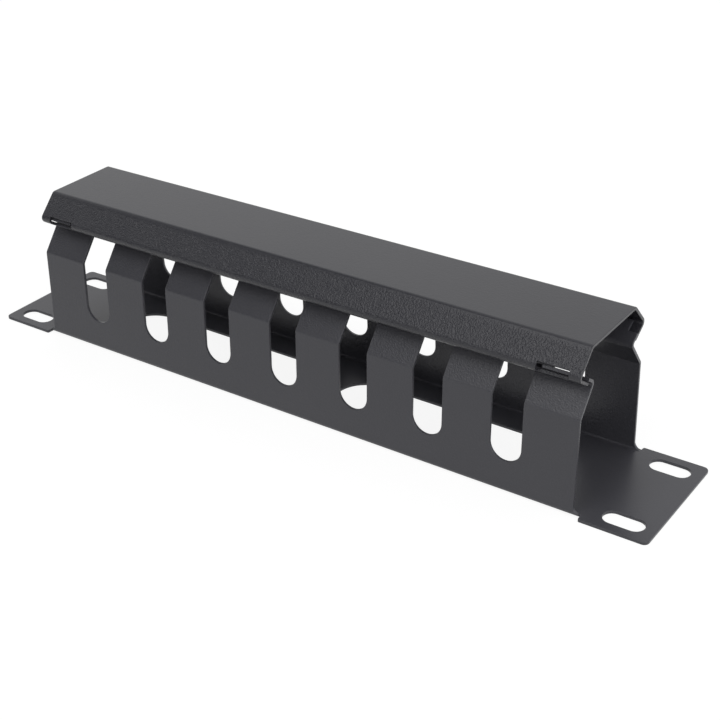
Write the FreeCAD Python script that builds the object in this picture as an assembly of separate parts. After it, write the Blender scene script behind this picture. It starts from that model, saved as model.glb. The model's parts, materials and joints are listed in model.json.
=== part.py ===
"""Horizontal cable manager for a 10-inch rack, one unit high, with a clip-on cover.

Two folded steel sheets. The base is a channel with a row of fingers along each
wall and a slotted ear at each end. The cover closes the channel: its lips hook
under the curled tips of the fingers, and a tab on each end finger stands behind
a window in the cover's fold.

Frame: X along the rack's width, Y across the unit's height, Z out of the rack.
The origin is on the back face of the base, at its centre. Units are millimetres.
"""
import FreeCAD, Part
import math
import os

from FreeCAD import Vector

# ---- sheet metal -----------------------------------------------------------
BASE_SHEET = 1.0            # thickness of the base
COVER_SHEET = 1.0           # thickness of the cover
BEND_RADIUS = 0.8           # inside radius of every fold

# ---- base: back plate and ears ---------------------------------------------
PANEL_WIDTH = 254.0         # over both ears, along X
PANEL_HEIGHT = 44.45        # one rack unit, along Y
EAR_LENGTH = 23.7           # each ear, past the ends of the walls
EAR_OVERHANG = 1.35         # the ears' edges, past the outer faces of the walls
EAR_CORNER_RADIUS = 1.8     # outer corners of the ears
EAR_SHOULDER_RADIUS = 0.5   # inner corners of the ears
FOOT_RADIUS = 2.2           # a wall's end runs out to the ear's shoulder in this radius

# ---- base: mounting slots, one pair in each ear ----------------------------
MOUNT_INSET = 10.0          # slot centre to the ear's end
MOUNT_SPACING_Y = 31.75     # hole pitch of one rack unit
MOUNT_SLOT_LENGTH = 12.9
MOUNT_SLOT_WIDTH = 6.2

# ---- base: the two windows in the back plate -------------------------------
BACK_WINDOW_INSET = 16.8    # window's end to the walls' end
BACK_WINDOW_WIDTH = 20.4
BACK_WINDOW_BRIDGE = 13.6   # metal left between the windows

# ---- base: walls and fingers -----------------------------------------------
WALL_LEAN = 2.0             # degrees inward from square
WALL_HEIGHT = 31.7          # back face to the fold where the fingers turn in
FINGER_LEAN = 38.0          # degrees inward from square, above that fold
NECK_HEIGHT = 40.4          # back face to the fold where the tips turn out
TIP_RISE = 34.0             # degrees above level, of the tips and the cover's lips
TIP_LENGTH = 3.6            # neck to the end of the tip, along its outer face
TAB_WIDTH = 9.8             # the longer tab in each end finger's tip
TAB_INSET = 3.1             # tab's outer end to the wall's end

# ---- base: cable slots between the fingers ---------------------------------
SLOT_COUNT = 7
SLOT_WIDTH = 10.4
SLOT_FLOOR = 10.7           # back face to the bottom of the round slot end
END_FINGER_WIDTH = 17.6     # last slot to the wall's end

# ---- cover -----------------------------------------------------------------
HOOK_GAP = 0.3              # lip to the tips that it hooks
TAB_GAP = 0.45              # end of a tab to the inside of the flange
COVER_END_GAP = 0.6         # cover's end, short of the walls' end
LIP_NECK_GAP = 2.1          # neck to the lip's edge, along the lip
LIP_LENGTH = 7.2            # lip's edge to the lower fold, along its outer face
FLANGE_LEAN = 43.8          # degrees inward from square
FLANGE_HEIGHT = 8.0         # lower fold to the flat top

# ---- cover: windows that show the tabs -------------------------------------
COVER_WINDOW_LENGTH = 10.2
COVER_WINDOW_INSET = 4.3    # window's outer end to the wall's end
COVER_WINDOW_RISE = 0.5     # up the flange, past the end of the lower fold
COVER_WINDOW_DROP = 1.2     # into the lip, past the other end of that fold

# ---- worked out ------------------------------------------------------------
CHANNEL_LENGTH = PANEL_WIDTH - 2 * EAR_LENGTH
CHANNEL_WIDTH = PANEL_HEIGHT - 2 * EAR_OVERHANG
HALF_LENGTH = CHANNEL_LENGTH / 2
CUT_MARGIN = 2 * BASE_SHEET     # how far a cutter passes the face that it cuts
MATCH_TOLERANCE = 1e-6      # for picking an edge by its place
TIP_ALONG = Vector(0, math.cos(math.radians(TIP_RISE)), math.sin(math.radians(TIP_RISE)))
TIP_NORMAL = Vector(0, -TIP_ALONG.z, TIP_ALONG.y)


def finger_corners():
    """Outer face of the +Y wall: corners at the foot, the fold and the neck."""
    foot = Vector(0, CHANNEL_WIDTH / 2, 0)
    fold = Vector(0, foot.y - WALL_HEIGHT * math.tan(math.radians(WALL_LEAN)), WALL_HEIGHT)
    rise = NECK_HEIGHT - WALL_HEIGHT
    neck = Vector(0, fold.y - rise * math.tan(math.radians(FINGER_LEAN)), NECK_HEIGHT)
    return [foot, fold, neck]


def tip_point(along, above):
    """A point that far along the tip's outer face from the neck, and above it."""
    return finger_corners()[-1] + TIP_ALONG * along + TIP_NORMAL * above


def cover_corners():
    """Outer face of the cover's +Y side: corners at the lip's edge, the fold and the top.

    The lip lies parallel to the finger's tip, the hook gap below it.
    """
    below = -(HOOK_GAP + COVER_SHEET)
    edge = tip_point(LIP_NECK_GAP, below)
    fold = tip_point(LIP_NECK_GAP + LIP_LENGTH, below)
    run = FLANGE_HEIGHT * math.tan(math.radians(FLANGE_LEAN))
    return [edge, fold, fold + Vector(0, -run, FLANGE_HEIGHT)]


def tab_length():
    """Neck to the end of a tab, which stops the tab gap behind the flange."""
    fold, top = cover_corners()[1:]
    inward = left_of(fold, top)
    to_flange = (tip_point(0, BASE_SHEET) - fold).dot(inward) - COVER_SHEET - TAB_GAP
    return to_flange / -TIP_ALONG.dot(inward)


def mirrored(line):
    """The same corners on the -Y side, in the opposite order."""
    return [Vector(0, -point.y, point.z) for point in reversed(line)]


def left_of(start, end):
    """Unit normal to the left of the way from start to end, seen along -X."""
    way = (end - start).normalize()
    return Vector(0, -way.z, way.y)


def folded_section(corners, sheet):
    """Section of a folded sheet of a thickness, as a face in the YZ plane.

    The corners are the sharp ones of the outer face. The sheet lies to the left
    of the line that joins them, and each fold has the inside bend radius.
    """
    faces = ([corners[0]], [corners[0] + left_of(corners[0], corners[1]) * sheet])
    edges = ([], [])
    for before, corner, after in zip(corners, corners[1:], corners[2:]):
        n_in = left_of(before, corner)
        n_out = left_of(corner, after)
        turns_left = n_in.cross(n_out).x > 0
        side = 1 if turns_left else -1
        outer_radius = BEND_RADIUS + sheet if turns_left else BEND_RADIUS
        tangent = outer_radius * math.tan(n_in.getAngle(n_out) / 2)
        start = corner - (corner - before).normalize() * tangent
        centre = start + n_in * side * outer_radius
        middle = (n_in + n_out).normalize()
        for face, line, offset in zip(faces, edges, (0.0, sheet)):
            arc = [centre + n * (offset - side * outer_radius) for n in (n_in, middle, n_out)]
            line.append(Part.makeLine(face[-1], arc[0]))
            line.append(Part.Arc(*arc).toShape())
            face.append(arc[2])
    ends = (corners[-1], corners[-1] + left_of(corners[-2], corners[-1]) * sheet)
    for face, line, end in zip(faces, edges, ends):
        line.append(Part.makeLine(face[-1], end))
    caps = [Part.makeLine(faces[0][0], faces[1][0]), Part.makeLine(ends[0], ends[1])]
    return Part.Face(Part.Wire(Part.__sortEdges__(edges[0] + edges[1] + caps)))


def folded_sheet(corners, sheet, x_from, x_to):
    """A folded sheet of a thickness, from one x to another."""
    body = folded_section(corners, sheet).extrude(Vector(x_to - x_from, 0, 0))
    body.translate(Vector(x_from, 0, 0))
    return body


def prism(ring, x_from, x_to, side=1):
    """A straight cutter along X, on the +Y or the -Y side."""
    points = [Vector(x_from, side * point.y, point.z) for point in ring + ring[:1]]
    return Part.Face(Part.makePolygon(points)).extrude(Vector(x_to - x_from, 0, 0))


def oblong_cutter(x, y, length, width):
    """A round-ended cutter along X, through the back plate."""
    run = length - width
    depth = BASE_SHEET + 2 * CUT_MARGIN
    bar = Part.makeBox(run, width, depth, Vector(x - run / 2, y - width / 2, -CUT_MARGIN))
    ends = [Part.makeCylinder(width / 2, depth, Vector(x + side * run / 2, y, -CUT_MARGIN))
            for side in (-1, 1)]
    return bar.fuse(ends)


def upright_edges(solid, x):
    """The edges of a flat blade that run through its thickness at one x."""
    return [edge for edge in solid.Edges
            if abs(edge.BoundBox.ZLength - BASE_SHEET) < MATCH_TOLERANCE
            and abs(edge.CenterOfMass.x - x) < MATCH_TOLERANCE]


def ear(line):
    """The ear at the +X end, flat with the back plate, and the walls' feet that reach it.

    The sheet's own section runs on from the walls' end, its height falling in a
    radius to the ear's face, where the shoulder starts.
    """
    shoulder_x = HALF_LENGTH + FOOT_RADIUS
    half = PANEL_HEIGHT / 2
    reach = PANEL_WIDTH / 2
    blade = Part.makeBox(reach - shoulder_x, PANEL_HEIGHT, BASE_SHEET, Vector(shoulder_x, -half, 0))
    blade = blade.makeFillet(EAR_CORNER_RADIUS, upright_edges(blade, reach))
    blade = blade.makeFillet(EAR_SHOULDER_RADIUS, upright_edges(blade, shoulder_x))

    top = BASE_SHEET + FOOT_RADIUS
    mid = FOOT_RADIUS * (1 - math.sqrt(0.5))
    start = Vector(HALF_LENGTH, -half, top)
    end = Vector(shoulder_x, -half, BASE_SHEET)
    arc = Part.Arc(start, Vector(HALF_LENGTH + mid, -half, BASE_SHEET + mid), end).toShape()
    rest = Part.makePolygon([end, Vector(shoulder_x, -half, 0), Vector(HALF_LENGTH, -half, 0), start])
    side_view = Part.Face(Part.Wire([arc] + rest.Edges))
    foot = side_view.extrude(Vector(0, PANEL_HEIGHT, 0))
    return blade.fuse(foot.common(folded_sheet(line, BASE_SHEET, HALF_LENGTH, shoulder_x)))


def slot_places():
    """The x of each cable slot, spread evenly between the end fingers."""
    first = -HALF_LENGTH + END_FINGER_WIDTH + SLOT_WIDTH / 2
    pitch = -2 * first / (SLOT_COUNT - 1)
    return [first + i * pitch for i in range(SLOT_COUNT)]


def cable_slot_cutter(x):
    """A U-shaped cutter through both walls, open at the tips."""
    radius = SLOT_WIDTH / 2
    half = CHANNEL_WIDTH / 2 + CUT_MARGIN
    centre_z = SLOT_FLOOR + radius
    top = tip_point(tab_length(), BASE_SHEET).z + CUT_MARGIN
    gap = Part.makeBox(SLOT_WIDTH, 2 * half, top - centre_z, Vector(x - radius, -half, centre_z))
    rounded = Part.makeCylinder(radius, 2 * half, Vector(x, -half, centre_z), Vector(0, 1, 0))
    return gap.fuse(rounded)


def tip_trims():
    """Cutters that shorten the tips everywhere but at the tabs."""
    far = tab_length() + CUT_MARGIN
    above = BASE_SHEET + CUT_MARGIN
    ring = [tip_point(TIP_LENGTH, -CUT_MARGIN), tip_point(far, -CUT_MARGIN),
            tip_point(far, above), tip_point(TIP_LENGTH, above)]
    outer = HALF_LENGTH - TAB_INSET
    inner = outer - TAB_WIDTH
    end = HALF_LENGTH + CUT_MARGIN
    return [prism(ring, x_from, x_to, side) for side in (-1, 1)
            for x_from, x_to in ((-end, -outer), (-inner, inner), (outer, end))]


def channel_base():
    """Back plate, ears, walls and fingers, folded from one sheet."""
    side = finger_corners() + [tip_point(tab_length(), 0)]
    line = mirrored(side) + side
    body = folded_sheet(line, BASE_SHEET, -HALF_LENGTH, HALF_LENGTH)
    body = body.cut(tip_trims())
    right = ear(line)
    left = right.mirror(Vector(0, 0, 0), Vector(1, 0, 0))
    body = body.fuse([right, left]).removeSplitter()

    cutters = [cable_slot_cutter(x) for x in slot_places()]
    window_length = (CHANNEL_LENGTH - BACK_WINDOW_BRIDGE) / 2 - BACK_WINDOW_INSET
    window_x = (BACK_WINDOW_BRIDGE + window_length) / 2
    mount_x = PANEL_WIDTH / 2 - MOUNT_INSET
    for end in (-1, 1):
        cutters.append(oblong_cutter(end * window_x, 0, window_length, BACK_WINDOW_WIDTH))
        for row in (-1, 1):
            cutters.append(oblong_cutter(end * mount_x, row * MOUNT_SPACING_Y / 2,
                                         MOUNT_SLOT_LENGTH, MOUNT_SLOT_WIDTH))
    return body.cut(cutters)


def cover_window_ring():
    """Section of a window's cutter: the +Y side's lower fold and strips beside it."""
    edge, fold, top = cover_corners()
    lip_in, flange_in = left_of(edge, fold), left_of(fold, top)
    outer_bend = BEND_RADIUS + COVER_SHEET
    centre = fold + (lip_in + flange_in) * (outer_bend / (1 + lip_in.dot(flange_in)))
    high = centre + (top - fold).normalize() * COVER_WINDOW_RISE
    low = centre + (edge - fold).normalize() * COVER_WINDOW_DROP
    reach = outer_bend + CUT_MARGIN
    return [high, high - flange_in * reach, fold - (flange_in + lip_in) * CUT_MARGIN,
            low - lip_in * reach, low, centre]


def snap_cover():
    """Flat top, two flanges and two hooked lips, folded from one sheet."""
    line = cover_corners()
    end_x = HALF_LENGTH - COVER_END_GAP
    body = folded_sheet(line + mirrored(line), COVER_SHEET, -end_x, end_x)
    ring = cover_window_ring()
    outer = HALF_LENGTH - COVER_WINDOW_INSET
    inner = outer - COVER_WINDOW_LENGTH
    cutters = [prism(ring, end * inner, end * outer, side) for end in (-1, 1) for side in (-1, 1)]
    return body.cut(cutters)


os.makedirs("parts", exist_ok=True)
PARTS = {"channel_base": channel_base(), "snap_cover": snap_cover()}
for name, shape in PARTS.items():
    size = [round(v, 2) for v in (shape.BoundBox.XLength, shape.BoundBox.YLength, shape.BoundBox.ZMax)]
    print(name, "valid", shape.isValid(), "solids", len(shape.Solids), "volume", round(shape.Volume, 1), size)
    shape.exportStep("parts/" + name + ".step")
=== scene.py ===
"""Looks of the horizontal cable manager: a folded steel channel and its clip-on cover.

Both are one sheet each, powder coated in black after folding.  The shapes come
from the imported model; here each sheet gets its coat-rounded edges and its coat,
and the cover's windows are fitted to their tabs.
"""

import json
import math

import bpy
from mathutils import Matrix, Vector

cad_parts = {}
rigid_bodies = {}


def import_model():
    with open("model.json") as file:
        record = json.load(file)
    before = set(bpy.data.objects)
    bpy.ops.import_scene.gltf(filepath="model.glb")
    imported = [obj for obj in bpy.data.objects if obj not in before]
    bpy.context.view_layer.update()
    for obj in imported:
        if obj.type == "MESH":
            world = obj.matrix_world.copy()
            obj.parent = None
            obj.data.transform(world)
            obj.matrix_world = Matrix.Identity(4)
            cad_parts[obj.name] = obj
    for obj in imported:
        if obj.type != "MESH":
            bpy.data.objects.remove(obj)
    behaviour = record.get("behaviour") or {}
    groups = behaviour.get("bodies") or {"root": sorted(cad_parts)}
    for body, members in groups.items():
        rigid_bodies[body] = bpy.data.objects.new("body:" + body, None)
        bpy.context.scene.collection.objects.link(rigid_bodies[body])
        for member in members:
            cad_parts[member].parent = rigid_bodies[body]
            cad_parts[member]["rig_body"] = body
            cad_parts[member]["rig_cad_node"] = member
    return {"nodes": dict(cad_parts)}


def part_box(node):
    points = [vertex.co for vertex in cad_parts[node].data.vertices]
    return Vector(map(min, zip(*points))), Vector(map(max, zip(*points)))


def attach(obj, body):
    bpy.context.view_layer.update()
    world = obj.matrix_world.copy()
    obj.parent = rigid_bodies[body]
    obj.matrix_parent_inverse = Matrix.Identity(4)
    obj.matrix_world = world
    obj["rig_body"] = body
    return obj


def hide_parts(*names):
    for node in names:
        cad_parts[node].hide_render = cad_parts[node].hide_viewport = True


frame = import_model()
bpy.context.view_layer.update()

MM = 0.001

# ---- Sheets -----------------------------------------------------------------------
MERGE_DISTANCE = 0.001 * MM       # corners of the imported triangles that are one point
FLAT_ANGLE = math.radians(0.3)    # triangles of one flat face differ by less than this
EDGE_ANGLE = math.radians(50)     # cut edges are sharper than this, folds are not
COAT_ROUND = 0.16 * MM            # radius that the coat leaves on a cut edge
COAT_ROUND_STEPS = 2
SHOULDER_X = (105.0 * MM, 105.9 * MM)   # box at each ear's shoulder whose edges stay square
SHOULDER_Y = (18.9 * MM, 21.0 * MM)
SHOULDER_TOP = 1.1 * MM

# ---- Cover's fit ------------------------------------------------------------------
COVER_PLAY = 0.25 * MM            # how far to the right of the middle it sits
FLANGE_LEAN = math.radians(43.8)  # inward from upright
WINDOW_ENDS = (3.7 * MM, 13.9 * MM)     # outer and inner end, in from the cover's end
WINDOW_RIMS = (                   # top edge, inside and outside: in and down from the cover's corner
    (1.57 * MM, 6.79 * MM),
    (0.85 * MM, 6.09 * MM),
)
WINDOW_FOOT = (2.63 * MM, 10.12 * MM)   # just past the window's lower edge, in and down
RIM_REACH = 0.27 * MM             # of the coat's rounding beside an edge
WINDOW_FITS = (                   # end, side, drop of the top edge, cut from the outer end
    (-1, -1, 0.30 * MM, 0.0),
    (-1, 1, 0.40 * MM, 3.0 * MM),
    (1, 1, 0.40 * MM, 3.0 * MM),
)

# ---- Coat -------------------------------------------------------------------------
PEEL_DEPTH = 0.25 * MM
SMOOTH_SHARE = 0.15               # of the peel, left on a flat top or back plate
GRAIN_SHARE = 0.4                 # of the height that is fine grain and not peel
COAT_IOR = 1.45

# ---- Studio -----------------------------------------------------------------------
FLOOR_SIZE = 6.0
FLOOR_COLOUR = (0.2, 0.2, 0.2)
FLOOR_GLOW = 0.88                 # what makes the floor white, beside the light on it
WORLD_LIGHT = 0.65                # light from all round on dull surfaces
CARD_COLOUR = (0.02, 0.02, 0.02)
CARD_DISTANCE = 1.2
DARK_CARDS = {                    # azimuth and elevation in degrees, size
    "card_front_left": (-47, 26, (0.62, 1.10)),
    "card_left": (-86, 59, (0.70, 0.50)),
}
LAMP_DISTANCE = 1.0
SOFT_LAMPS = {                    # azimuth and elevation in degrees, size, radiance
    "front_soft": (-14, 57, (0.55, 0.45), 2.0),
    "right_soft": (72, 22, (0.60, 0.50), 1.8),
}

# ---- Camera -----------------------------------------------------------------------
CAMERA_AZIMUTH = 35.278           # degrees, from the front to the right
CAMERA_ELEVATION = 29.435
CAMERA_ROLL = math.radians(-1.381)
CAMERA_DISTANCE = 456.27 * MM
CAMERA_TARGET = Vector((15.59, 0.0, 15.035)) * MM
CAMERA_CLIP = (0.01, 20.0)
CAMERA_LENS = 70.79
SENSOR_WIDTH = 36.0


def only(*chosen):
    """Selects these objects and nothing else, the last one active."""
    bpy.ops.object.select_all(action="DESELECT")
    for o in chosen:
        o.select_set(True)
    bpy.context.view_layer.objects.active = chosen[-1]


def new_nodes(name):
    """A new material with nodes on: itself, its nodes and its links."""
    material = bpy.data.materials.new(name)
    material.use_nodes = True
    return material, material.node_tree.nodes, material.node_tree.links


# ---- Coat materials ---------------------------------------------------------------
def powder_grain_group():
    """Orange peel of a powder coat, as a height from 0 to 1, and its mottled tone."""
    group = bpy.data.node_groups.new("powder_grain", "ShaderNodeTree")
    io = group.interface
    io.new_socket("Vector", in_out="INPUT", socket_type="NodeSocketVector")
    io.new_socket("Peel Scale", in_out="INPUT", socket_type="NodeSocketFloat")
    io.new_socket("Grain Scale", in_out="INPUT", socket_type="NodeSocketFloat")
    io.new_socket("Grain Share", in_out="INPUT", socket_type="NodeSocketFloat")
    io.new_socket("Height", in_out="OUTPUT", socket_type="NodeSocketFloat")
    io.new_socket("Tone", in_out="OUTPUT", socket_type="NodeSocketFloat")
    nodes, links = group.nodes, group.links
    entry = nodes.new("NodeGroupInput")
    leave = nodes.new("NodeGroupOutput")

    peel = nodes.new("ShaderNodeTexNoise")
    peel.inputs["Detail"].default_value = 1.5
    peel.inputs["Roughness"].default_value = 0.45
    links.new(entry.outputs["Vector"], peel.inputs["Vector"])
    links.new(entry.outputs["Peel Scale"], peel.inputs["Scale"])

    grain = nodes.new("ShaderNodeTexVoronoi")
    grain.feature = "SMOOTH_F1"
    grain.inputs["Smoothness"].default_value = 0.6
    links.new(entry.outputs["Vector"], grain.inputs["Vector"])
    links.new(entry.outputs["Grain Scale"], grain.inputs["Scale"])

    blend = nodes.new("ShaderNodeMix")
    blend.data_type = "FLOAT"
    links.new(entry.outputs["Grain Share"], blend.inputs["Factor"])
    links.new(peel.outputs["Fac"], blend.inputs["A"])
    links.new(grain.outputs["Distance"], blend.inputs["B"])
    links.new(blend.outputs["Result"], leave.inputs["Height"])

    tone = nodes.new("ShaderNodeTexNoise")
    tone.inputs["Scale"].default_value = 14.0
    tone.inputs["Detail"].default_value = 3.0
    links.new(entry.outputs["Vector"], tone.inputs["Vector"])
    links.new(tone.outputs["Fac"], leave.inputs["Tone"])
    return group


def coat_material(name, dark, light, peel_scale, grain_scale, bump, rough, fade_heights):
    """A powder coat whose peel fades, from the first height to the second, to the smooth share."""
    material, nodes, links = new_nodes(name)
    shader = nodes["Principled BSDF"]
    shader.inputs["IOR"].default_value = COAT_IOR
    place = nodes.new("ShaderNodeTexCoord")
    coat = nodes.new("ShaderNodeGroup")
    coat.node_tree = bpy.data.node_groups["powder_grain"]
    coat.inputs["Peel Scale"].default_value = peel_scale
    coat.inputs["Grain Scale"].default_value = grain_scale
    coat.inputs["Grain Share"].default_value = GRAIN_SHARE
    links.new(place.outputs["Object"], coat.inputs["Vector"])

    colour = nodes.new("ShaderNodeValToRGB")
    colour.color_ramp.elements[0].position = 0.3
    colour.color_ramp.elements[0].color = (*dark, 1)
    colour.color_ramp.elements[1].position = 0.7
    colour.color_ramp.elements[1].color = (*light, 1)
    links.new(coat.outputs["Tone"], colour.inputs["Fac"])
    links.new(colour.outputs["Color"], shader.inputs["Base Color"])

    gloss = nodes.new("ShaderNodeMapRange")
    gloss.inputs["To Min"].default_value, gloss.inputs["To Max"].default_value = rough
    links.new(coat.outputs["Height"], gloss.inputs["Value"])
    links.new(gloss.outputs["Result"], shader.inputs["Roughness"])

    split = nodes.new("ShaderNodeSeparateXYZ")
    links.new(place.outputs["Object"], split.inputs[0])
    fade = nodes.new("ShaderNodeMapRange")
    fade.inputs["From Min"].default_value, fade.inputs["From Max"].default_value = fade_heights
    fade.inputs["To Min"].default_value = bump
    fade.inputs["To Max"].default_value = bump * SMOOTH_SHARE
    links.new(split.outputs["Z"], fade.inputs["Value"])

    peel = nodes.new("ShaderNodeBump")
    peel.inputs["Distance"].default_value = PEEL_DEPTH
    links.new(fade.outputs["Result"], peel.inputs["Strength"])
    links.new(coat.outputs["Height"], peel.inputs["Height"])
    links.new(peel.outputs["Normal"], shader.inputs["Normal"])
    return material


powder_grain_group()
base_coat = coat_material(
    "base_powder_coat", dark=(0.059, 0.059, 0.069), light=(0.065, 0.065, 0.075),
    peel_scale=1500.0, grain_scale=2400.0, bump=0.5, rough=(0.30, 0.38),
    fade_heights=(4.0 * MM, 1.2 * MM))
cover_coat = coat_material(
    "cover_powder_coat", dark=(0.032, 0.032, 0.039), light=(0.036, 0.036, 0.043),
    peel_scale=1400.0, grain_scale=2300.0, bump=1.0, rough=(0.28, 0.36),
    fade_heights=(51.0 * MM, 52.3 * MM))


# ---- Sheets -----------------------------------------------------------------------
def at_shoulder(point):
    """Where a wall's foot meets the ear's shoulder, its faces are too narrow to round."""
    x, y = abs(point.x), abs(point.y)
    return (SHOULDER_X[0] < x < SHOULDER_X[1] and SHOULDER_Y[0] < y < SHOULDER_Y[1]
            and point.z < SHOULDER_TOP)


def round_cut_edges(sheet):
    """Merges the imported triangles, and rounds every cut edge but those at the shoulders."""
    only(sheet)
    bpy.ops.mesh.customdata_custom_splitnormals_clear()
    bpy.ops.object.mode_set(mode="EDIT")
    bpy.ops.mesh.select_all(action="SELECT")
    bpy.ops.mesh.remove_doubles(threshold=MERGE_DISTANCE)
    bpy.ops.mesh.dissolve_limited(angle_limit=FLAT_ANGLE)
    bpy.ops.mesh.select_all(action="DESELECT")
    bpy.ops.mesh.select_mode(type="EDGE")
    bpy.ops.mesh.edges_select_sharp(sharpness=EDGE_ANGLE)
    bpy.ops.object.mode_set(mode="OBJECT")
    points = sheet.data.vertices
    for edge in sheet.data.edges:
        if edge.select and any(at_shoulder(points[i].co) for i in edge.vertices):
            edge.select = False
    bpy.ops.object.mode_set(mode="EDIT")
    bpy.ops.mesh.bevel(offset=COAT_ROUND, segments=COAT_ROUND_STEPS, affect="EDGES",
                       clamp_overlap=False, miter_outer="ARC", loop_slide=True)
    bpy.ops.mesh.select_all(action="DESELECT")
    bpy.ops.object.mode_set(mode="OBJECT")
    bpy.ops.object.shade_smooth()
    even = sheet.modifiers.new("flat_faces", "WEIGHTED_NORMAL")
    even.weight = 100
    bpy.ops.object.modifier_apply(modifier=even.name)


def coated_sheet(node, name, body, material):
    """A copy of a folded sheet, with its cut edges rounded by its coat."""
    sheet = frame["nodes"][node].copy()
    sheet.data = frame["nodes"][node].data.copy()
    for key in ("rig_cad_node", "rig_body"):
        del sheet[key]
    sheet.name = sheet.data.name = name
    sheet.parent = None
    bpy.context.scene.collection.objects.link(sheet)
    sheet.data.materials.clear()
    sheet.data.materials.append(material)
    round_cut_edges(sheet)
    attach(sheet, body)
    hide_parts(node)
    return sheet


def move_points(sheet, numbers, way):
    """Moves the points of a sheet that have these numbers."""
    only(sheet)
    bpy.ops.object.mode_set(mode="EDIT")
    bpy.ops.mesh.select_mode(type="VERT")
    bpy.ops.mesh.select_all(action="DESELECT")
    bpy.ops.object.mode_set(mode="OBJECT")
    for i in numbers:
        sheet.data.vertices[i].select = True
    bpy.ops.object.mode_set(mode="EDIT")
    bpy.ops.transform.translate(value=way)
    bpy.ops.mesh.select_all(action="DESELECT")
    bpy.ops.object.mode_set(mode="OBJECT")


def window_points(cover, end, side):
    """Numbers of the points on one window's top edge, and of those at its outer end."""
    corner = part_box("snap_cover")[1]
    outer, inner = (corner[0] - inset for inset in WINDOW_ENDS)
    rims = [Vector((corner[1] - inset, corner[2] - drop)) for inset, drop in WINDOW_RIMS]
    inset, foot = corner[1] - WINDOW_FOOT[0], corner[2] - WINDOW_FOOT[1]
    top_edge, outer_end = [], []
    for point in cover.data.vertices:
        x = end * point.co.x
        across = Vector((side * point.co.y, point.co.z))
        at_rim = min((across - rim).length for rim in rims) < RIM_REACH
        if at_rim and inner - RIM_REACH < x < outer + RIM_REACH:
            top_edge.append(point.index)
        in_flange = across.x > inset and foot < across.y < rims[1].y + RIM_REACH
        if in_flange and abs(x - outer) < RIM_REACH:
            outer_end.append(point.index)
    return top_edge, outer_end


def settle_cover(cover):
    """Fits the cover as it sits: its windows against their tabs, and its play to the right.

    The top edge of every window but the front right one comes down along its flange, and
    the two rear windows stop short at their outer ends.
    """
    for end, side, drop, cut in WINDOW_FITS:
        top_edge, outer_end = window_points(cover, end, side)
        down_flange = (0, side * drop * math.sin(FLANGE_LEAN), -drop * math.cos(FLANGE_LEAN))
        move_points(cover, top_edge, down_flange)
        if cut:
            move_points(cover, outer_end, (-end * cut, 0, 0))
    move_points(cover, range(len(cover.data.vertices)), (COVER_PLAY, 0, 0))


coated_sheet("channel_base", "channel_base_coated", "base", base_coat)
settle_cover(coated_sheet("snap_cover", "snap_cover_coated", "cover", cover_coat))


# ---- Floor, light and camera ------------------------------------------------------
def seen_rays(nodes, links):
    """One for camera, mirror and see-through rays, which find the plain white studio."""
    rays = nodes.new("ShaderNodeLightPath")
    seen = rays.outputs["Is Camera Ray"]
    for kind in ("Is Glossy Ray", "Is Transmission Ray"):
        either = nodes.new("ShaderNodeMath")
        either.operation = "MAXIMUM"
        links.new(seen, either.inputs[0])
        links.new(rays.outputs[kind], either.inputs[1])
        seen = either.outputs[0]
    return seen


def white_floor():
    """A pale floor that keeps the object's shadow and is white where nothing shades it."""
    bpy.ops.object.select_all(action="DESELECT")
    bpy.ops.mesh.primitive_plane_add(size=FLOOR_SIZE)
    floor = bpy.context.object
    floor.name = "floor"
    material, nodes, links = new_nodes("floor_white")
    nodes.remove(nodes["Principled BSDF"])
    paper = nodes.new("ShaderNodeBsdfDiffuse")
    paper.inputs["Color"].default_value = (*FLOOR_COLOUR, 1)
    glow = nodes.new("ShaderNodeEmission")
    share = nodes.new("ShaderNodeMath")
    share.operation = "MULTIPLY"
    share.inputs[1].default_value = FLOOR_GLOW
    links.new(seen_rays(nodes, links), share.inputs[0])
    links.new(share.outputs[0], glow.inputs["Strength"])
    both = nodes.new("ShaderNodeAddShader")
    links.new(paper.outputs[0], both.inputs[0])
    links.new(glow.outputs[0], both.inputs[1])
    links.new(both.outputs[0], nodes["Material Output"].inputs["Surface"])
    floor.data.materials.append(material)


def studio_world():
    """Dull surfaces get even light from all round; mirrors and the camera find white."""
    world = bpy.data.worlds.new("studio")
    bpy.context.scene.world = world
    world.use_nodes = True
    nodes, links = world.node_tree.nodes, world.node_tree.links
    white = nodes.new("ShaderNodeMix")
    white.data_type = "FLOAT"
    white.inputs["A"].default_value = WORLD_LIGHT
    white.inputs["B"].default_value = 1.0
    links.new(seen_rays(nodes, links), white.inputs["Factor"])
    nodes["Background"].inputs["Color"].default_value = (1, 1, 1, 1)
    links.new(white.outputs["Result"], nodes["Background"].inputs["Strength"])


def toward(azimuth, elevation):
    """The way out from the object, in degrees: azimuth from the front to the right."""
    az, el = math.radians(azimuth), math.radians(elevation)
    return Vector((math.sin(az) * math.cos(el), -math.cos(az) * math.cos(el), math.sin(el)))


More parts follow.
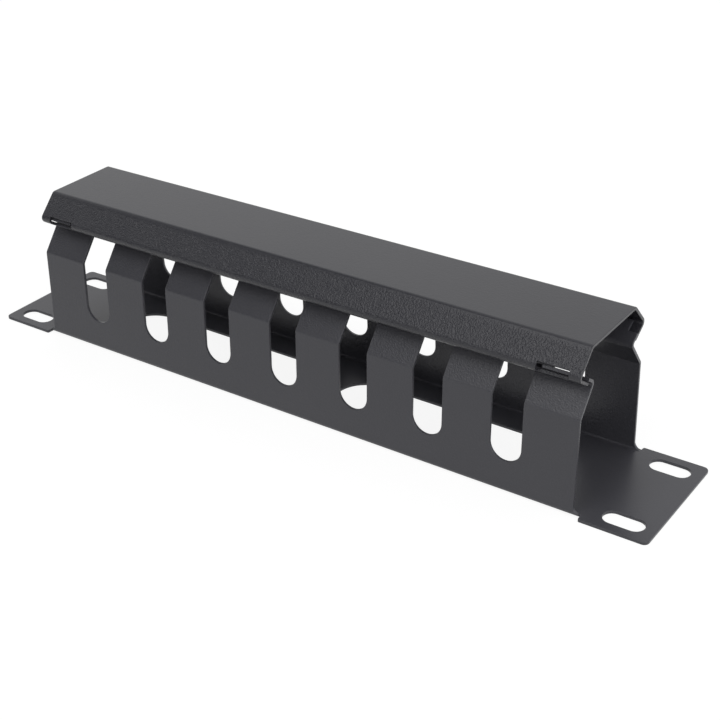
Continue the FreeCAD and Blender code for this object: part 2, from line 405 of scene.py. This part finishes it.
def facing_object(thing, place):
    """Puts a lamp or a card at a place, turned towards the object."""
    thing.location = place
    thing.rotation_mode = "QUATERNION"
    thing.rotation_quaternion = (-place).to_track_quat("-Z", "Y")


def dark_cards():
    """Black studio cards at the front left, which the sloping faces mirror."""
    material, nodes, _ = new_nodes("card_black")
    nodes["Principled BSDF"].inputs["Base Color"].default_value = (*CARD_COLOUR, 1)
    nodes["Principled BSDF"].inputs["Roughness"].default_value = 0.9
    for name, (azimuth, elevation, size) in DARK_CARDS.items():
        bpy.ops.object.select_all(action="DESELECT")
        bpy.ops.mesh.primitive_plane_add(size=1.0)
        card = bpy.context.object
        card.name = name
        card.scale = (*size, 1)
        facing_object(card, toward(azimuth, elevation) * CARD_DISTANCE)
        card.data.materials.append(material)


def soft_lamps():
    """Soft panels that face the object, each as bright all over as its radiance."""
    for name, (azimuth, elevation, size, radiance) in SOFT_LAMPS.items():
        bpy.ops.object.light_add(type="AREA")
        lamp = bpy.context.object
        lamp.name = name
        lamp.data.shape = "RECTANGLE"
        lamp.data.size, lamp.data.size_y = size
        lamp.data.energy = radiance * math.pi * size[0] * size[1]
        facing_object(lamp, toward(azimuth, elevation) * LAMP_DISTANCE)


def main_camera():
    """The scene's camera, rolled a little about its own line of sight."""
    back = toward(CAMERA_AZIMUTH, CAMERA_ELEVATION)
    level = toward(CAMERA_AZIMUTH + 90, 0)
    right = math.cos(CAMERA_ROLL) * level + math.sin(CAMERA_ROLL) * back.cross(level)
    turn = Matrix((right, back.cross(right), back)).transposed().to_4x4()
    bpy.ops.object.camera_add()
    camera = bpy.context.object
    camera.matrix_world = Matrix.Translation(CAMERA_TARGET + back * CAMERA_DISTANCE) @ turn
    camera.data.sensor_width = SENSOR_WIDTH
    camera.data.lens = CAMERA_LENS
    camera.data.clip_start, camera.data.clip_end = CAMERA_CLIP
    bpy.context.scene.camera = camera


white_floor()
studio_world()
dark_cards()
soft_lamps()
main_camera()
bpy.context.scene.view_settings.view_transform = "Standard"
